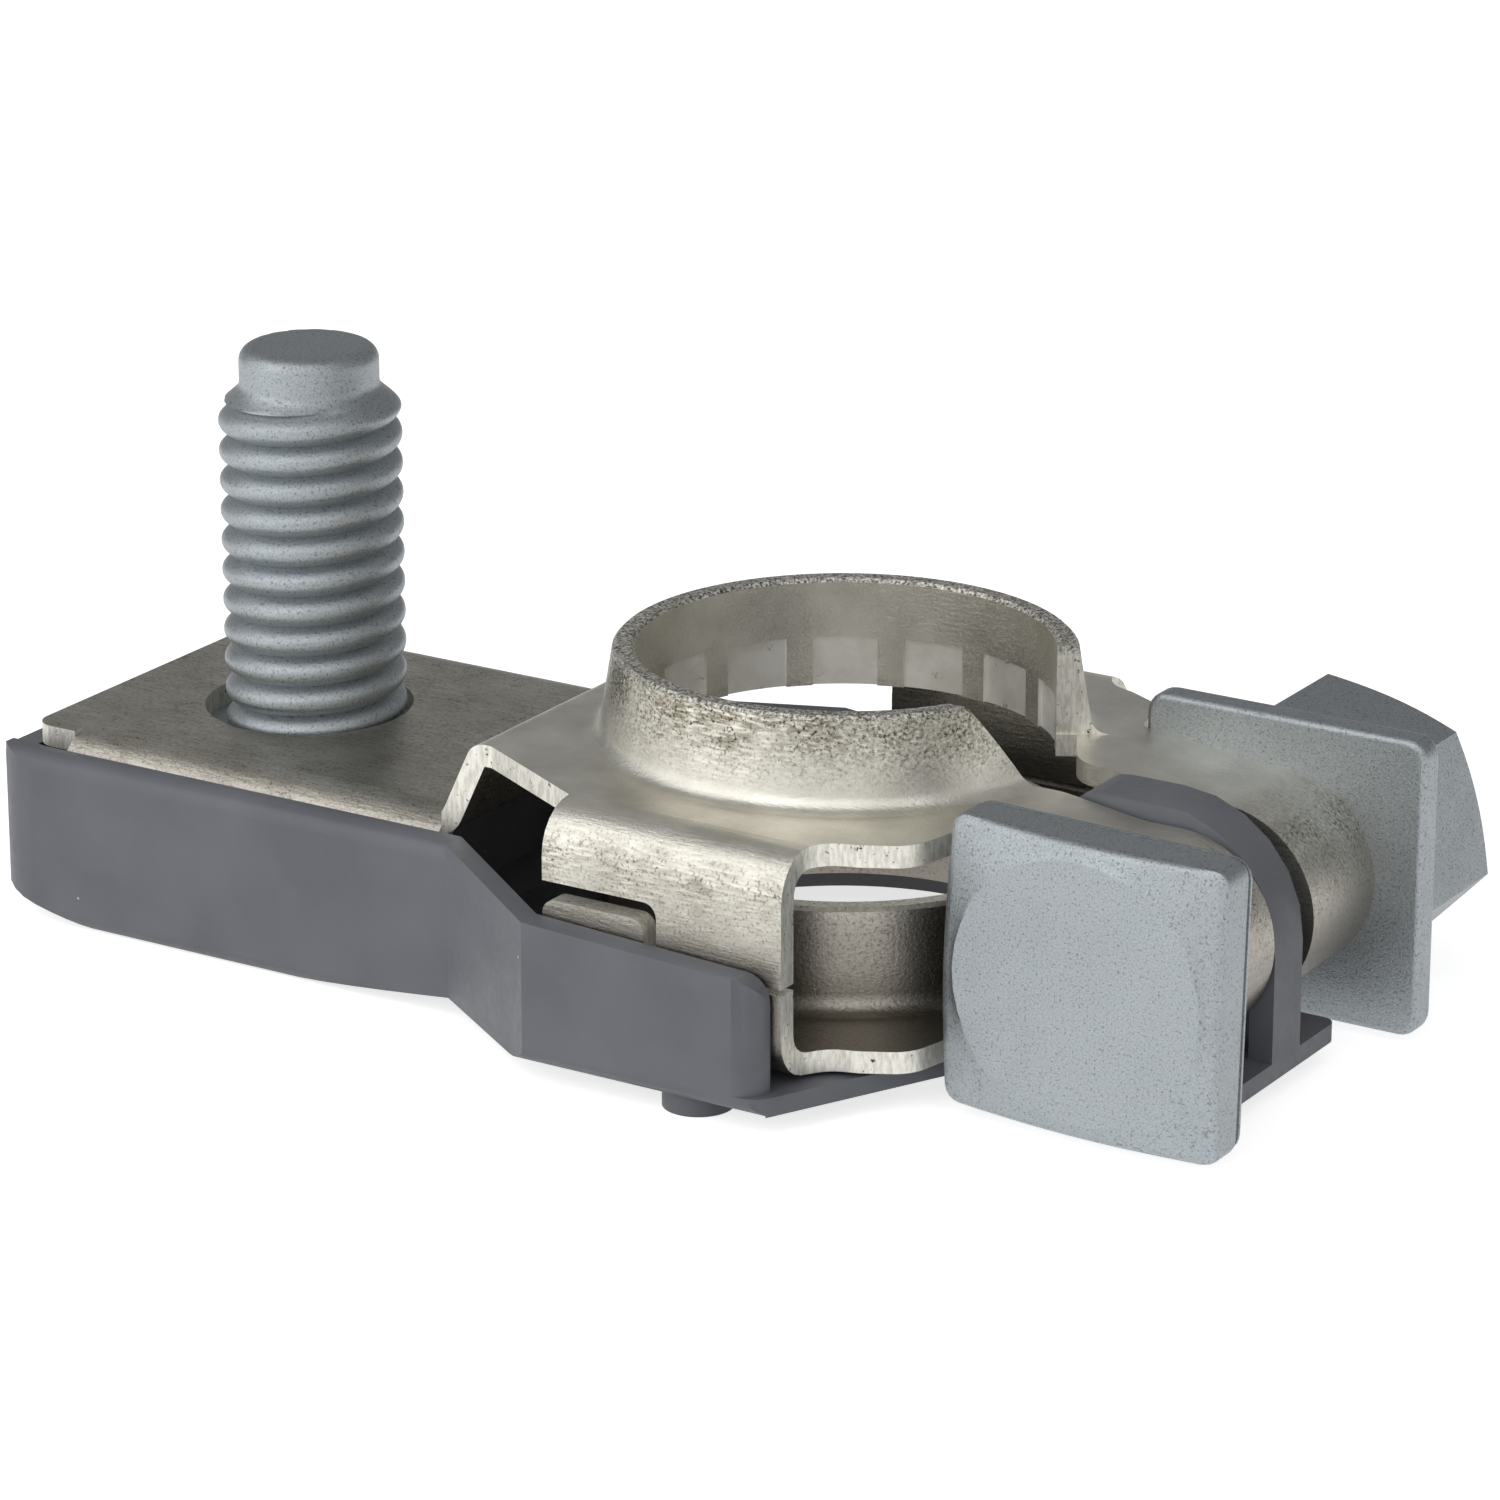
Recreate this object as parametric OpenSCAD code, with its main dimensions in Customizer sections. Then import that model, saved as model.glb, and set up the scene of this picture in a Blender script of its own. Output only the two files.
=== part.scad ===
// Battery terminal clamp: one folded plated sheet grips the battery post and is drawn tight by a
// cross bolt, a threaded stud stands up for the cable lug, and a moulded tray holds the underside.
// Millimetres. The origin is on the post axis, level with the top face of the ring plate.
// X runs from the stud to the clamp bolt, Y runs along the clamp bolt, Z is up.

/* [Post collar] */
// Bore that grips the battery post
post_bore_d = 13; // [12:0.1:14.6]
// Height of the collar above the ring plate
collar_h = 2.85; // [2:0.05:4]
// Wall of the collar at its rim
collar_wall = 0.7; // [0.5:0.05:1]
// How much the outside of the collar widens from the rim to its foot
collar_flare = 0.35; // [0.1:0.05:0.4]
// Radius where the collar runs out into the ring plate
collar_foot_r = 0.6; // [0.4:0.05:0.7]
// Bore of the lower collar
lower_bore_d = 13.5; // [13.1:0.1:14]
// Wall of the lower collar
lower_collar_wall = 0.6; // [0.5:0.05:0.8]
// Height of the lower collar, from the underside of the lower plate
lower_collar_h = 4.05; // [2.5:0.05:4.6]

/* [Folded sheet] */
// Middle of the sheet across its width, from the post axis
mid_y = -0.4; // [-0.6:0.05:0.6]
// Thickness of the sheet
sheet_t = 0.7; // [0.5:0.05:0.9]
// Height of the folded stack at the ring, outside to outside
stack_h = 7.2; // [6.8:0.1:8]
// Width across the side walls at the ring
ring_w = 21.2; // [20.4:0.1:22.4]
// Outside bend radius of the side walls
bend_r = 1.5; // [1.1:0.05:1.8]
// Left end of the side walls, from the post axis
wall_left_x = 3.95; // [3.2:0.05:4.4]
// Right end of the side walls, where the window starts
wall_right_x = 4.45; // [4:0.05:5]
// Right end of the notch in the upper side wall
notch_x = 0.1; // [-0.2:0.05:0.6]
// Depth of the upper side wall over the notch
notch_wall_h = 2.27; // [2:0.05:2.6]
// Full depth of the upper side wall
upper_wall_h = 4.1; // [3.8:0.05:4.2]
// Gap between the upper and the lower side walls
seam_gap = 0.2; // [0.1:0.05:0.5]
// Width of the tab that stands up into the notch
tab_w = 3.6; // [3:0.05:3.8]
// Height of the tab above the lower side wall
tab_h = 1.45; // [1:0.05:1.5]
// Half width of the ring plate beside the windows
window_half_w = 8.35; // [8:0.05:8.8]
// Left end of the lower plate, from the post axis
lower_plate_x = 8; // [7.8:0.1:8.6]

/* [Clamp ears] */
// Distance from the post axis to the clamp bolt
bolt_x = 12.55; // [12.4:0.05:13.6]
// Half width across the two ears
ear_half_w = 5.52; // [5:0.05:6]
// Clearance between the neck of the ears and the head and washer
neck_gap = 0.15; // [0.1:0.05:0.4]
// Side of the slot towards the head, from the post axis
slot_front_y = 1.45; // [1.4:0.05:1.8]
// Side of the slot towards the nut, from the post axis
slot_rear_y = 1.1; // [0.8:0.05:1.4]
// Where the slot opens out towards the collar
slot_open_x = 7.55; // [7.3:0.05:8.2]
// Angle of the collar's end towards the nut, about the post axis
gap_rear_turn = 28.8; // [20:0.2:36]
// Side of the gap towards the head, at the rim of the collar
gap_front_y = 3.44; // [2.5:0.02:4]
// Side of the gap towards the head, at the foot of the collar
gap_foot_y = 1.65; // [1.5:0.05:2]

/* [Stud plate] */
// Distance from the post axis to the stud
stud_x = 19.85; // [19:0.05:20.3]
// Left end of the stud plate, from the post axis
plate_end_x = 26.5; // [26:0.1:28]
// Drop of the stud plate below the ring plate
plate_drop = 2.55; // [2:0.05:3]
// Width across the side walls at the stud plate
plate_w = 14.4; // [14:0.1:16]
// Depth of the side walls at the stud plate
plate_wall_h = 3.4; // [2.6:0.1:4]
// Left end of those side walls, in from the plate's end
plate_relief = 1.7; // [1.2:0.1:3]
// Foot of the ramp, from the post axis
ramp_foot_x = 10.3; // [9.9:0.05:10.7]
// Top of the ramp, from the post axis
ramp_top_x = 9.1; // [8.9:0.05:9.3]
// Half width of the ramp
ramp_half_w = 6.7; // [6:0.05:6.8]
// Play of the stud in its hole, on average
stud_play = 0.45; // [0.3:0.05:0.8]
// How far the middle of the hole lies to the left of the stud
stud_hole_shift = 0.3; // [0:0.05:0.3]

/* [Stud] */
// Outside diameter of the stud's thread
stud_d = 5.9; // [5.8:0.02:6]
// Height of the thread above the stud plate
stud_thread_h = 10.2; // [8:0.1:16]
// Diameter of the shank below the thread
stud_shank_d = 5.2; // [4.8:0.1:5.6]
// Height of the shank above the stud plate
stud_shank_h = 0.3; // [0.1:0.05:0.6]
// Diameter of the dog point
stud_tip_d = 4.5; // [4:0.1:5]
// Height of the dog point
stud_tip_h = 1.2; // [0.8:0.1:2]
// Side of the square stud head
stud_head_w = 9.4; // [8:0.1:10]
// Thickness of the stud head
stud_head_t = 2; // [1.5:0.1:2.4]

/* [Clamp bolt] */
// Outside diameter of the clamp bolt's thread
bolt_d = 4.9; // [4.7:0.05:5]
// Play of the bolt in the ears
bolt_play = 0.05; // [0.02:0.01:0.1]
// Side of the square head
head_w = 9.2; // [8.6:0.1:9.6]
// How far the head is turned about its bolt
head_turn = 1.3; // [0:0.1:3]
// Thickness of the square head
head_t = 2; // [1.5:0.1:2.5]
// Side of the square washer
washer_w = 9.6; // [8.6:0.1:9.8]
// Thickness of the washer
washer_t = 1; // [0.8:0.05:1.4]
// Play of the bolt in the washer and in the nut
washer_play = 0.08; // [0.02:0.01:0.1]
// Width across the flats of the nut
nut_w = 8; // [7.5:0.1:8.5]
// Height of the nut
nut_h = 4.8; // [3.5:0.1:5.5]
// Turn of the nut about the bolt, in degrees
nut_turn = -14; // [-30:1:30]
// Thread that stands out of the nut
bolt_end = 3; // [2.5:0.1:4]

/* [Tray] */
// Wall of the tray
tray_wall = 0.85; // [0.6:0.05:1.1]
// Floor of the tray
tray_floor = 0.6; // [0.5:0.05:0.8]
// Clearance between the tray and the sheet
tray_gap = 0.1; // [0.05:0.05:0.2]
// Clearance between the tray's floor and the lower plate
floor_gap = 0.15; // [0.1:0.05:0.3]
// Top of the tray's walls at the stud, below the ring plate
tray_stud_top = 2.9; // [2.8:0.02:3]
// Top of the tray's walls at the ring, below the ring plate
tray_ring_top = 3.35; // [3:0.05:3.5]
// Top of the tray's walls at their right end, below the ring plate
tray_nose_top = 3.72; // [3.4:0.02:4]
// Where the walls start to widen, from the post axis
tray_narrow_x = 9.15; // [8.9:0.05:9.6]
// Where the walls reach their full width, from the post axis
tray_wide_x = 4.1; // [3.6:0.1:4.4]
// Right end of the walls, from the post axis
tray_wall_x = 4.15; // [3.9:0.05:4.4]
// Half width of the floor where its slanted edge turns towards the tongue
tongue_knee_w = 6.2; // [5.5:0.1:7]
// Place of that turn, from the post axis
tongue_knee_x = 6.8; // [6.4:0.1:7.2]
// Half width of the tongue under the ears
tongue_half_w = 3.4; // [3:0.1:4.2]
// Right end of the tongue, from the post axis
tongue_x = 15.7; // [15.65:0.05:16.2]
// Depth of the stud box below the ring plate
stud_box_z = 8.65; // [8.4:0.05:9]
// Radius of the hole that the post passes
post_way_r = 7.6; // [7.4:0.05:8]
// Width of the strap over the bolt
strap_w = 1.8; // [1.4:0.05:1.9]
// Thickness of the strap
strap_t = 0.8; // [0.6:0.05:1]
// Height of the strap above the ring plate
strap_rise = 0.2; // [0.1:0.05:0.4]
// Radius of the strap's bend over the ears
strap_bend_r = 4.1; // [3.8:0.1:4.6]
// Radius of the moulded feet
foot_r = 1.1; // [0.8:0.05:1.4]
// Thickness of the crib that holds the stud head
crib_t = 0.8; // [0.6:0.05:1]

/* [Hidden] */

// Steps in one rounded corner of an outline
corner_steps = 6;
// Facets of a full round
round_facets = 96;
// How far each cut runs past the face that it opens
overrun = 0.5;
// Reach of a cut that goes right through the part
reach = 60;

bolt_z = -stack_h / 2;
ear_r = bolt_d / 2 + bolt_play + sheet_t;
ear_top_z = bolt_z + ear_r;
lower_wall_h = stack_h - upper_wall_h - seam_gap;
plate_z = -plate_drop;
plate_under_z = plate_z - sheet_t;
stud_box_top_z = tray_floor - stud_box_z;
floor_z = -stack_h - floor_gap;
tray_bottom_z = floor_z - tray_floor;
foot_z = -stud_box_z;

// Corner radii of the sheet's outlines, as shares of the bend radius
big_corner_share = 0.85;
small_corner_share = 0.3;
big_corner = big_corner_share * bend_r;
small_corner = small_corner_share * bend_r;

// A unit vector, and a vector turned a quarter to the left
function unit(v) = v / norm(v);
function turned(v) = [-v[1], v[0]];
function place(p) = [p[0], p[1]];
function turn_of(a, p, b) = sign(cross(place(p) - place(a), place(b) - place(p)));

// One corner of an outline: p is [x, y, radius], and a and b are its neighbours
function corner(a, p, b) =
    let(u = unit(place(a) - place(p)), v = unit(place(b) - place(p)), half = acos(u * v) / 2)
    p[2] <= 0 ? [place(p)] :
    let(
        centre = place(p) + unit(u + v) * p[2] / sin(half),
        start = place(p) + u * p[2] / tan(half) - centre,
        first = atan2(start[1], start[0]),
        sweep = turn_of(a, p, b) * (180 - 2 * half)
    )
    [for (i = [0:corner_steps]) centre + p[2] * [cos(first + sweep * i / corner_steps),
                                                 sin(first + sweep * i / corner_steps)]];

// A closed outline, and an open path, with their corners rounded
function closed_outline(q) = [for (i = [0:len(q) - 1])
    each corner(q[(i + len(q) - 1) % len(q)], q[i], q[(i + 1) % len(q)])];
function open_path(q) = concat([place(q[0])],
    [for (i = [1:len(q) - 2]) each corner(q[i - 1], q[i], q[i + 1])],
    [place(q[len(q) - 1])]);

// The path of the sheet's other face, one thickness to the right of path q
function other_face(q, t) = [for (i = [0:len(q) - 1])
    let(
        before = i == 0 ? undef : turned(unit(place(q[i]) - place(q[i - 1]))),
        after = i == len(q) - 1 ? undef : turned(unit(place(q[i + 1]) - place(q[i]))),
        n1 = i == 0 ? after : before,
        n2 = i == len(q) - 1 ? before : after,
        p = place(q[i]) - t * (n1 + n2) / (1 + n1 * n2),
        turn = i == 0 || i == len(q) - 1 ? 0 : turn_of(q[i - 1], q[i], q[i + 1])
    )
    [p[0], p[1], turn == 0 ? 0 : q[i][2] + turn * t]];

function backwards(q) = [for (i = [len(q) - 1:-1:0]) q[i]];

// A strip of sheet seen on edge, with one face along path q and its thickness to the right
module strip(q, t) {
    polygon(concat(open_path(q), backwards(open_path(other_face(q, t)))));
}

// An outline in X and Z drawn out along Y, centred, and one in Y and Z drawn out along X
module along_y(w) {
    rotate([90, 0, 0]) linear_extrude(w, center = true) children();
}
module along_x(x0, x1) {
    translate([x0, 0, 0]) rotate([90, 0, 90]) linear_extrude(x1 - x0) children();
}

// A half outline and its mirror image across the X axis
module both_sides(q) {
    polygon(closed_outline(q));
    mirror([0, 1]) polygon(closed_outline(q));
}

// Cross section of a plate with two side walls that are bent down
module channel_section(w, depth, t) {
    strip([[-w / 2, -depth, 0], [-w / 2, 0, bend_r], [w / 2, 0, bend_r], [w / 2, -depth, 0]], t);
}

// Side view of the upper sheet: stud plate, ramp, ring plate and fall to the ears
ramp_foot_r = sheet_t / 2;
ramp_top_r = sheet_t;
// The ears' neck stands clear of the bolt's head and of the washer
neck_x = bolt_x - max(head_w, washer_w) / 2 - neck_gap;
// Where the fall to the ears starts and ends, as shares of the way from the neck to the bolt
fall_start_share = 0.19;
fall_end_share = 0.75;
fall_x = neck_x + fall_start_share * (bolt_x - neck_x);
ear_run_x = neck_x + fall_end_share * (bolt_x - neck_x);
ear_blend_r = bolt_x - neck_x;
module upper_side() {
    strip([
        [-plate_end_x, plate_z, 0],
        [-ramp_foot_x, plate_z, ramp_foot_r],
        [-ramp_top_x, 0, ramp_top_r],
        [fall_x, 0, ear_blend_r],
        [ear_run_x, ear_top_z, ear_blend_r],
        [bolt_x, ear_top_z, 0]
    ], sheet_t);
}

// Side view of the lower sheet, which comes back from the ears
module lower_side() {
    translate([0, -stack_h]) mirror([0, 1]) strip([
        [-lower_plate_x, 0, 0],
        [fall_x, 0, ear_blend_r],
        [ear_run_x, ear_top_z, ear_blend_r],
        [bolt_x, ear_top_z, 0]
    ], sheet_t);
}

// Half plan of the ring plate, its side wall, its window and its ear
window_end_x = neck_x - small_corner;
window_slope_share = 0.09;
window_step_share = 0.25;
window_end_w = window_half_w - window_slope_share * window_half_w;
ear_end_x = bolt_x + ear_r;
module ring_half_plan(left_points) {
    q = concat(left_points, [
        [wall_right_x, ring_w / 2, 0],
        [wall_right_x, window_half_w + window_step_share * bend_r, big_corner],
        [wall_right_x + big_corner, window_half_w, big_corner],
        [window_end_x, window_end_w, big_corner],
        [neck_x, ear_half_w, small_corner],
        [ear_end_x + overrun, ear_half_w, 0],
        [ear_end_x + overrun, -overrun, 0]
    ]);
    both_sides(q);
}

// Half plan of the upper sheet, whose stud plate is half_w wide at its side walls
module upper_plan(half_w) {
    relief_x = plate_end_x - plate_relief;
    ring_half_plan([
        [-plate_end_x, -overrun, 0],
        [-plate_end_x, plate_w / 2 - bend_r / 2, bend_r / 2],
        [-relief_x, plate_w / 2 - bend_r / 2, 0],
        [-relief_x, half_w, 0],
        [-ramp_foot_x, half_w, 0],
        [-ramp_foot_x, ramp_half_w, 0],
        [-ramp_top_x + sheet_t, ramp_half_w, small_corner],
        [-wall_left_x, ring_w / 2 - bend_r, 0],
        [-wall_left_x, ring_w / 2, 0]
    ]);
}

module lower_plan() {
    ring_half_plan([
        [-lower_plate_x, -overrun, 0],
        [-lower_plate_x, ramp_half_w, big_corner],
        [-wall_left_x, ring_w / 2 - bend_r, 0],
        [-wall_left_x, ring_w / 2, 0]
    ]);
}

// The notch in the upper side walls, which are cut back over the tab
module notch_cut() {
    for (side = [-1, 1])
        translate([0, side * ring_w / 2, 0]) along_y(2 * bend_r)
            polygon(closed_outline([
                [-wall_left_x - overrun, -notch_wall_h, 0],
                [-wall_left_x - overrun, -upper_wall_h - overrun, 0],
                [notch_x, -upper_wall_h - overrun, 0],
                [notch_x, -notch_wall_h, small_corner]
            ]));
}

// The lower side walls and their tabs, seen from the side
module lower_wall_side() {
    tab_right_x = tab_w - wall_left_x;
    low_z = -stack_h;
    wall_z = low_z + lower_wall_h;
    polygon(closed_outline([
        [-wall_left_x, low_z, 0],
        [wall_right_x + bend_r, low_z, 0],
        [wall_right_x + bend_r, wall_z, 0],
        [tab_right_x, wall_z, 0],
        [tab_right_x, wall_z + tab_h, small_corner],
        [-wall_left_x, wall_z + tab_h, small_corner]
    ]));
}

// A plan drawn up through the whole part
module through() {
    translate([0, 0, -reach / 2]) linear_extrude(reach) children();
}

// The upper sheet without its collar: its flats, and its side walls with their bends
module upper_sheet() {
    intersection() {
        along_y(ring_w - 2 * bend_r) upper_side();
        through() upper_plan(plate_w / 2 - bend_r);
    }
    intersection() {
        union() {
            difference() {
                along_x(-wall_left_x, window_end_x) channel_section(ring_w, upper_wall_h, sheet_t);
                notch_cut();
            }
            translate([0, 0, plate_z]) along_x(plate_relief - plate_end_x, -ramp_foot_x)
                channel_section(plate_w, plate_wall_h, sheet_t);
        }
        through() upper_plan(plate_w / 2);
    }
}

// The lower sheet without its collar
module lower_sheet() {
    intersection() {
        union() {
            along_y(ring_w - 2 * bend_r) lower_side();
            intersection() {
                translate([0, 0, -stack_h]) mirror([0, 0, 1])
                    along_x(-wall_left_x, window_end_x)
                        channel_section(ring_w, lower_wall_h + tab_h, sheet_t);
                along_y(ring_w) lower_wall_side();
            }
        }
        through() lower_plan();
    }
}

// The loop of sheet round the clamp bolt
module ear_loop() {
    translate([bolt_x, 0, bolt_z]) rotate([90, 0, 0]) difference() {
        cylinder(h = 2 * ear_half_w, r = ear_r, center = true, $fn = round_facets);
        cylinder(h = 2 * ear_half_w + overrun, r = ear_r - sheet_t, center = true, $fn = round_facets);
        translate([-ear_r, 0, 0])
            cube([2 * ear_r, 2 * ear_r + overrun, 2 * ear_half_w + overrun], center = true);
    }
}

// The collar that is drawn up from the ring plate
collar_rim_r = post_bore_d / 2 + collar_wall;
collar_foot_out_r = collar_rim_r + collar_flare;
edge_share = 0.17;
edge_break = edge_share * collar_wall;
module upper_collar() {
    rotate_extrude($fn = round_facets) polygon(concat(
        [
            [post_bore_d / 2, -sheet_t],
            [collar_foot_out_r + collar_foot_r, -sheet_t]
        ],
        [for (i = [0:corner_steps])
            let(a = 90 * i / corner_steps)
            [collar_foot_out_r + collar_foot_r * (1 - sin(a)), collar_foot_r * (1 - cos(a))]],
        [
            [collar_rim_r, collar_h - edge_break],
            [collar_rim_r - edge_break, collar_h],
            [post_bore_d / 2 + edge_break, collar_h],
            [post_bore_d / 2, collar_h - edge_break]
        ]
    ));
}

// The collar that is drawn up from the lower plate
module lower_collar() {
    bore_r = lower_bore_d / 2;
    out_r = bore_r + lower_collar_wall;
    translate([0, 0, -stack_h]) rotate_extrude($fn = round_facets) polygon(concat(
        [
            [bore_r, 0],
            [out_r + collar_foot_r, 0]
        ],
        [for (i = [0:corner_steps])
            let(a = 90 * i / corner_steps)
            [out_r + collar_foot_r * (1 - sin(a)), sheet_t + collar_foot_r * (1 - cos(a))]],
        [
            [out_r, lower_collar_h - edge_break],
            [out_r - edge_break, lower_collar_h],
            [bore_r, lower_collar_h]
        ]
    ));
}

// The gap in the ring, which runs on as the slot between the ears
module ring_gap() {
    far_x = collar_foot_out_r + collar_foot_r + overrun;
    // Through both plates: slanted away from the collar's end, then straight between the ears
    translate([0, 0, -reach]) linear_extrude(reach) polygon(closed_outline([
        [0, 0, 0],
        [post_bore_d / 2, -slot_front_y, 0],
        [ear_end_x + overrun, -slot_front_y, 0],
        [ear_end_x + overrun, slot_rear_y, 0],
        [slot_open_x, slot_rear_y, bend_r],
        [collar_rim_r * cos(gap_rear_turn), collar_rim_r * sin(gap_rear_turn) - edge_break, 0]
    ]));
    // Through the collar: square to its wall at one end and slanted at the other
    intersection() {
        linear_extrude(collar_h + overrun) polygon([
            [0, 0],
            [far_x, -far_x],
            [far_x / cos(gap_rear_turn), -far_x],
            [far_x, far_x * tan(gap_rear_turn)]
        ]);
        along_x(0, 2 * far_x) polygon([
            [-gap_foot_y, 0],
            [-gap_front_y, collar_h],
            [-gap_front_y, collar_h + overrun],
            [far_x, collar_h + overrun],
            [far_x, 0]
        ]);
    }
}

module terminal_sheet() {
    stud_hole_r = stud_d / 2 + stud_play;
    color("#B5B2A9") difference() {
        union() {
            translate([0, mid_y, 0]) {
                upper_sheet();
                lower_sheet();
                ear_loop();
            }
            upper_collar();
            lower_collar();
        }
        // The post's bores
        translate([0, 0, -sheet_t - overrun])
            cylinder(h = sheet_t + 2 * overrun + collar_h, d = post_bore_d, $fn = round_facets);
        translate([0, 0, -stack_h - overrun])
            cylinder(h = lower_collar_h + 2 * overrun, d = lower_bore_d, $fn = round_facets);
        // The hole that the stud stands in
        translate([-stud_x - stud_hole_shift, mid_y, plate_under_z - overrun])
            cylinder(h = sheet_t + 2 * overrun, r = stud_hole_r, $fn = round_facets);
        ring_gap();
    }
}

// A square plate with rounded corners, lying in X and Z and thick along Y from y0
plate_corner_share = 0.07;
module square_plate(w, t, y0, turn = 0) {
    corner_r = plate_corner_share * w;
    translate([bolt_x, y0 + t / 2, bolt_z]) rotate([0, turn, 0]) along_y(t) polygon(closed_outline([
        [-w / 2, -w / 2, corner_r],
        [w / 2, -w / 2, corner_r],
        [w / 2, w / 2, corner_r],
        [-w / 2, w / 2, corner_r]
    ]));
}

// A round that runs along the clamp bolt from y0 to y1
module bolt_round(d, y0, y1) {
    translate([bolt_x, y1, bolt_z]) rotate([90, 0, 0])
        cylinder(h = y1 - y0, d = d, $fn = round_facets);
}

// Along the bolt: its head, the faces of the two ears, the nut and the bolt's end
ear_front_y = mid_y - ear_half_w;
ear_rear_y = mid_y + ear_half_w;
nut_y = ear_rear_y + washer_t;
bolt_tip_y = nut_y + nut_h + bolt_end;
bolt_chamfer_share = 0.1;
bolt_chamfer = bolt_chamfer_share * bolt_d;
disc_share = 0.86;
disc_rise_share = 0.05;
module clamp_bolt() {
    disc_t = disc_rise_share * head_t;
    color("#9AA0A4") union() {
        square_plate(head_w, head_t - disc_t, ear_front_y - head_t + disc_t, head_turn);
        bolt_round(disc_share * head_w, ear_front_y - head_t, ear_front_y - head_t / 2);
        bolt_round(bolt_d, ear_front_y - head_t / 2, bolt_tip_y - bolt_chamfer);
        translate([bolt_x, bolt_tip_y - bolt_chamfer, bolt_z]) rotate([-90, 0, 0])
            cylinder(h = bolt_chamfer, d1 = bolt_d, d2 = bolt_d - 2 * bolt_chamfer, $fn = round_facets);
    }
}

module clamp_washer() {
    color("#9AA0A4") difference() {
        square_plate(washer_w, washer_t, ear_rear_y);
        bolt_round(bolt_d + 2 * washer_play, ear_rear_y - overrun, nut_y + overrun);
    }
}

nut_chamfer_share = 0.6;
module clamp_nut() {
    chamfer = (nut_w / cos(30) - nut_w) / 2;
    chamfer_h = nut_chamfer_share * chamfer;
    color("#8C9195") difference() {
        intersection() {
            translate([bolt_x, nut_y + nut_h, bolt_z]) rotate([90, -nut_turn, 0])
                cylinder(h = nut_h, d = nut_w / cos(30), $fn = 6);
            translate([bolt_x, nut_y + nut_h, bolt_z]) rotate([90, 0, 0])
                rotate_extrude($fn = round_facets) polygon([
                    [0, 0],
                    [nut_w / 2, 0],
                    [nut_w / 2 + chamfer, chamfer_h],
                    [nut_w / 2 + chamfer, nut_h - chamfer_h],
                    [nut_w / 2, nut_h],
                    [0, nut_h]
                ]);
        }
        bolt_round(bolt_d + 2 * washer_play, nut_y - overrun, nut_y + nut_h + overrun);
    }
}

// The stud with its dog point, and the square head that is caught under the stud plate
tip_break_share = 0.08;
module stud_bolt() {
    thread_end_z = plate_z + stud_thread_h;
    neck_h = (stud_d - stud_tip_d) / 2;
    tip_break = tip_break_share * stud_tip_d;
    color("#8C9195") translate([-stud_x, mid_y, 0]) union() {
        translate([-stud_head_w / 2, -stud_head_w / 2, plate_under_z - stud_head_t])
            cube([stud_head_w, stud_head_w, stud_head_t]);
        translate([0, 0, plate_under_z - sheet_t])
            cylinder(h = 2 * sheet_t + 2 * stud_shank_h, d = stud_shank_d, $fn = round_facets);
        translate([0, 0, plate_z + stud_shank_h])
            cylinder(h = stud_thread_h - stud_shank_h, d = stud_d, $fn = round_facets);
        translate([0, 0, thread_end_z])
            cylinder(h = neck_h, d1 = stud_d, d2 = stud_tip_d, $fn = round_facets);
        translate([0, 0, thread_end_z + neck_h])
            cylinder(h = stud_tip_h - tip_break, d = stud_tip_d, $fn = round_facets);
        translate([0, 0, thread_end_z + neck_h + stud_tip_h - tip_break])
            cylinder(h = tip_break, d1 = stud_tip_d, d2 = stud_tip_d - 2 * tip_break, $fn = round_facets);
    }
}

// Plan of the tray, drawn in by inset on every wall
narrow_half_w = plate_w / 2 + tray_gap + tray_wall;
wide_half_w = ring_w / 2 + tray_gap + tray_wall;
tray_end_x = plate_end_x + tray_wall;
tray_corner_share = 2.4;
tray_corner_r = tray_corner_share * tray_wall;
tongue_root_x = post_way_r + tray_floor;
module tray_half_plan(inset, right_x) {
    both_sides([
        [inset - tray_end_x, -overrun, 0],
        [inset - tray_end_x, narrow_half_w - inset, tray_corner_r - inset],
        [-tray_narrow_x, narrow_half_w - inset, 0],
        [-tray_wide_x, wide_half_w - inset, 0],
        [right_x, wide_half_w - inset, inset > 0 ? 0 : tray_wall],
        [right_x, -overrun, 0]
    ]);
}

module tongue_half_plan() {
    both_sides([
        [0, -overrun, 0],
        [0, wide_half_w, 0],
        [tray_wall_x, wide_half_w, tray_wall],
        [tongue_knee_x, tongue_knee_w, 0],
        [tongue_root_x, tongue_half_w, big_corner],
        [tongue_x, tongue_half_w, small_corner],
        [tongue_x, -overrun, 0]
    ]);
}

// Side view of the tray's underside: the stud box hangs lower than the ends
box_left_share = 0.84;
box_right_share = 0.58;
end_lift_share = 0.87;
module tray_side(lift, top) {
    narrow_top = top ? -tray_stud_top : 0;
    wide_top = top ? -tray_ring_top : 0;
    polygon(closed_outline([
        [-tray_end_x, narrow_top, 0],
        [-tray_end_x, -stud_box_z * end_lift_share + lift, bend_r / 2],
        [-tray_end_x * box_left_share, -stud_box_z + lift, bend_r / 2],
        [-tray_end_x * box_right_share, -stud_box_z + lift, bend_r],
        [-tray_narrow_x, tray_bottom_z + lift, 0],
        [tray_wall_x, tray_bottom_z + lift, 0],
        [tray_wall_x, top ? -tray_nose_top : 0, top ? tray_wall : 0],
        [-tray_wide_x, wide_top, 0],
        [-tray_narrow_x, narrow_top, 0]
    ]));
}

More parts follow.
